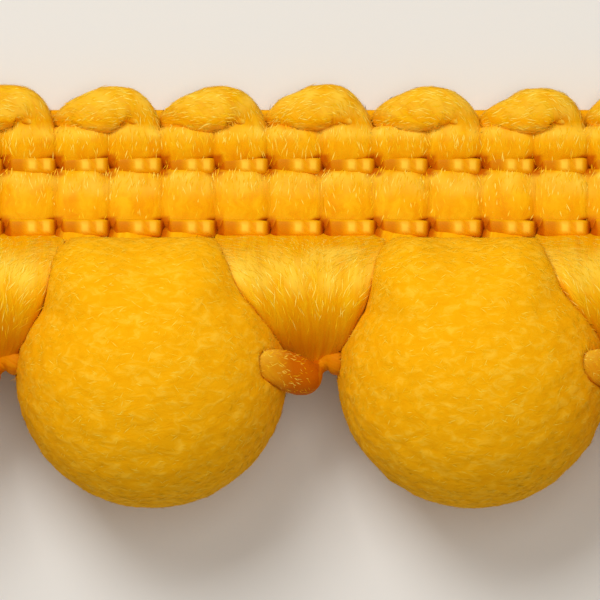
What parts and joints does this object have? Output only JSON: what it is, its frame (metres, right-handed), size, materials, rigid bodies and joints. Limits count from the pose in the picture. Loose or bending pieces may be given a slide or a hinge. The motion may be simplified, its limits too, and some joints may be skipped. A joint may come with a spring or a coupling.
{
  "type": "pompom fringe trim",
  "caption": "Length of knitted trim: a ribbed yarn heading with looped top edge, and a row of round pompoms tied below it, for edging cushions, curtains or clothes.",
  "frame": {"origin": "on the surface that the trim lies on, under the middle of its length and width", "axes": "+X along the trim, +Y from the pompoms to the heading's looped edge, +Z out of the face"},
  "size_m": [0.0332, 0.0101, 0.0059],
  "materials": {
    "heading_yarn": "bulky acrylic yarn, soft sheen along the filaments",
    "pompom_pile": "dense sheared pile, matt and a little fuzzy"
  },
  "bodies": {
    "root": {"heading": "heading_yarn", "fan_1": "heading_yarn", "fan_2": "heading_yarn", "fan_3": "heading_yarn", "fan_4": "heading_yarn", "fan_5": "heading_yarn", "tie_1": "heading_yarn", "tie_2": "heading_yarn", "tie_3": "heading_yarn", "tie_4": "heading_yarn", "tie_5": "heading_yarn", "pompom_1": "pompom_pile", "pompom_2": "pompom_pile", "pompom_3": "pompom_pile", "pompom_4": "pompom_pile"}
  },
  "joints": []
}
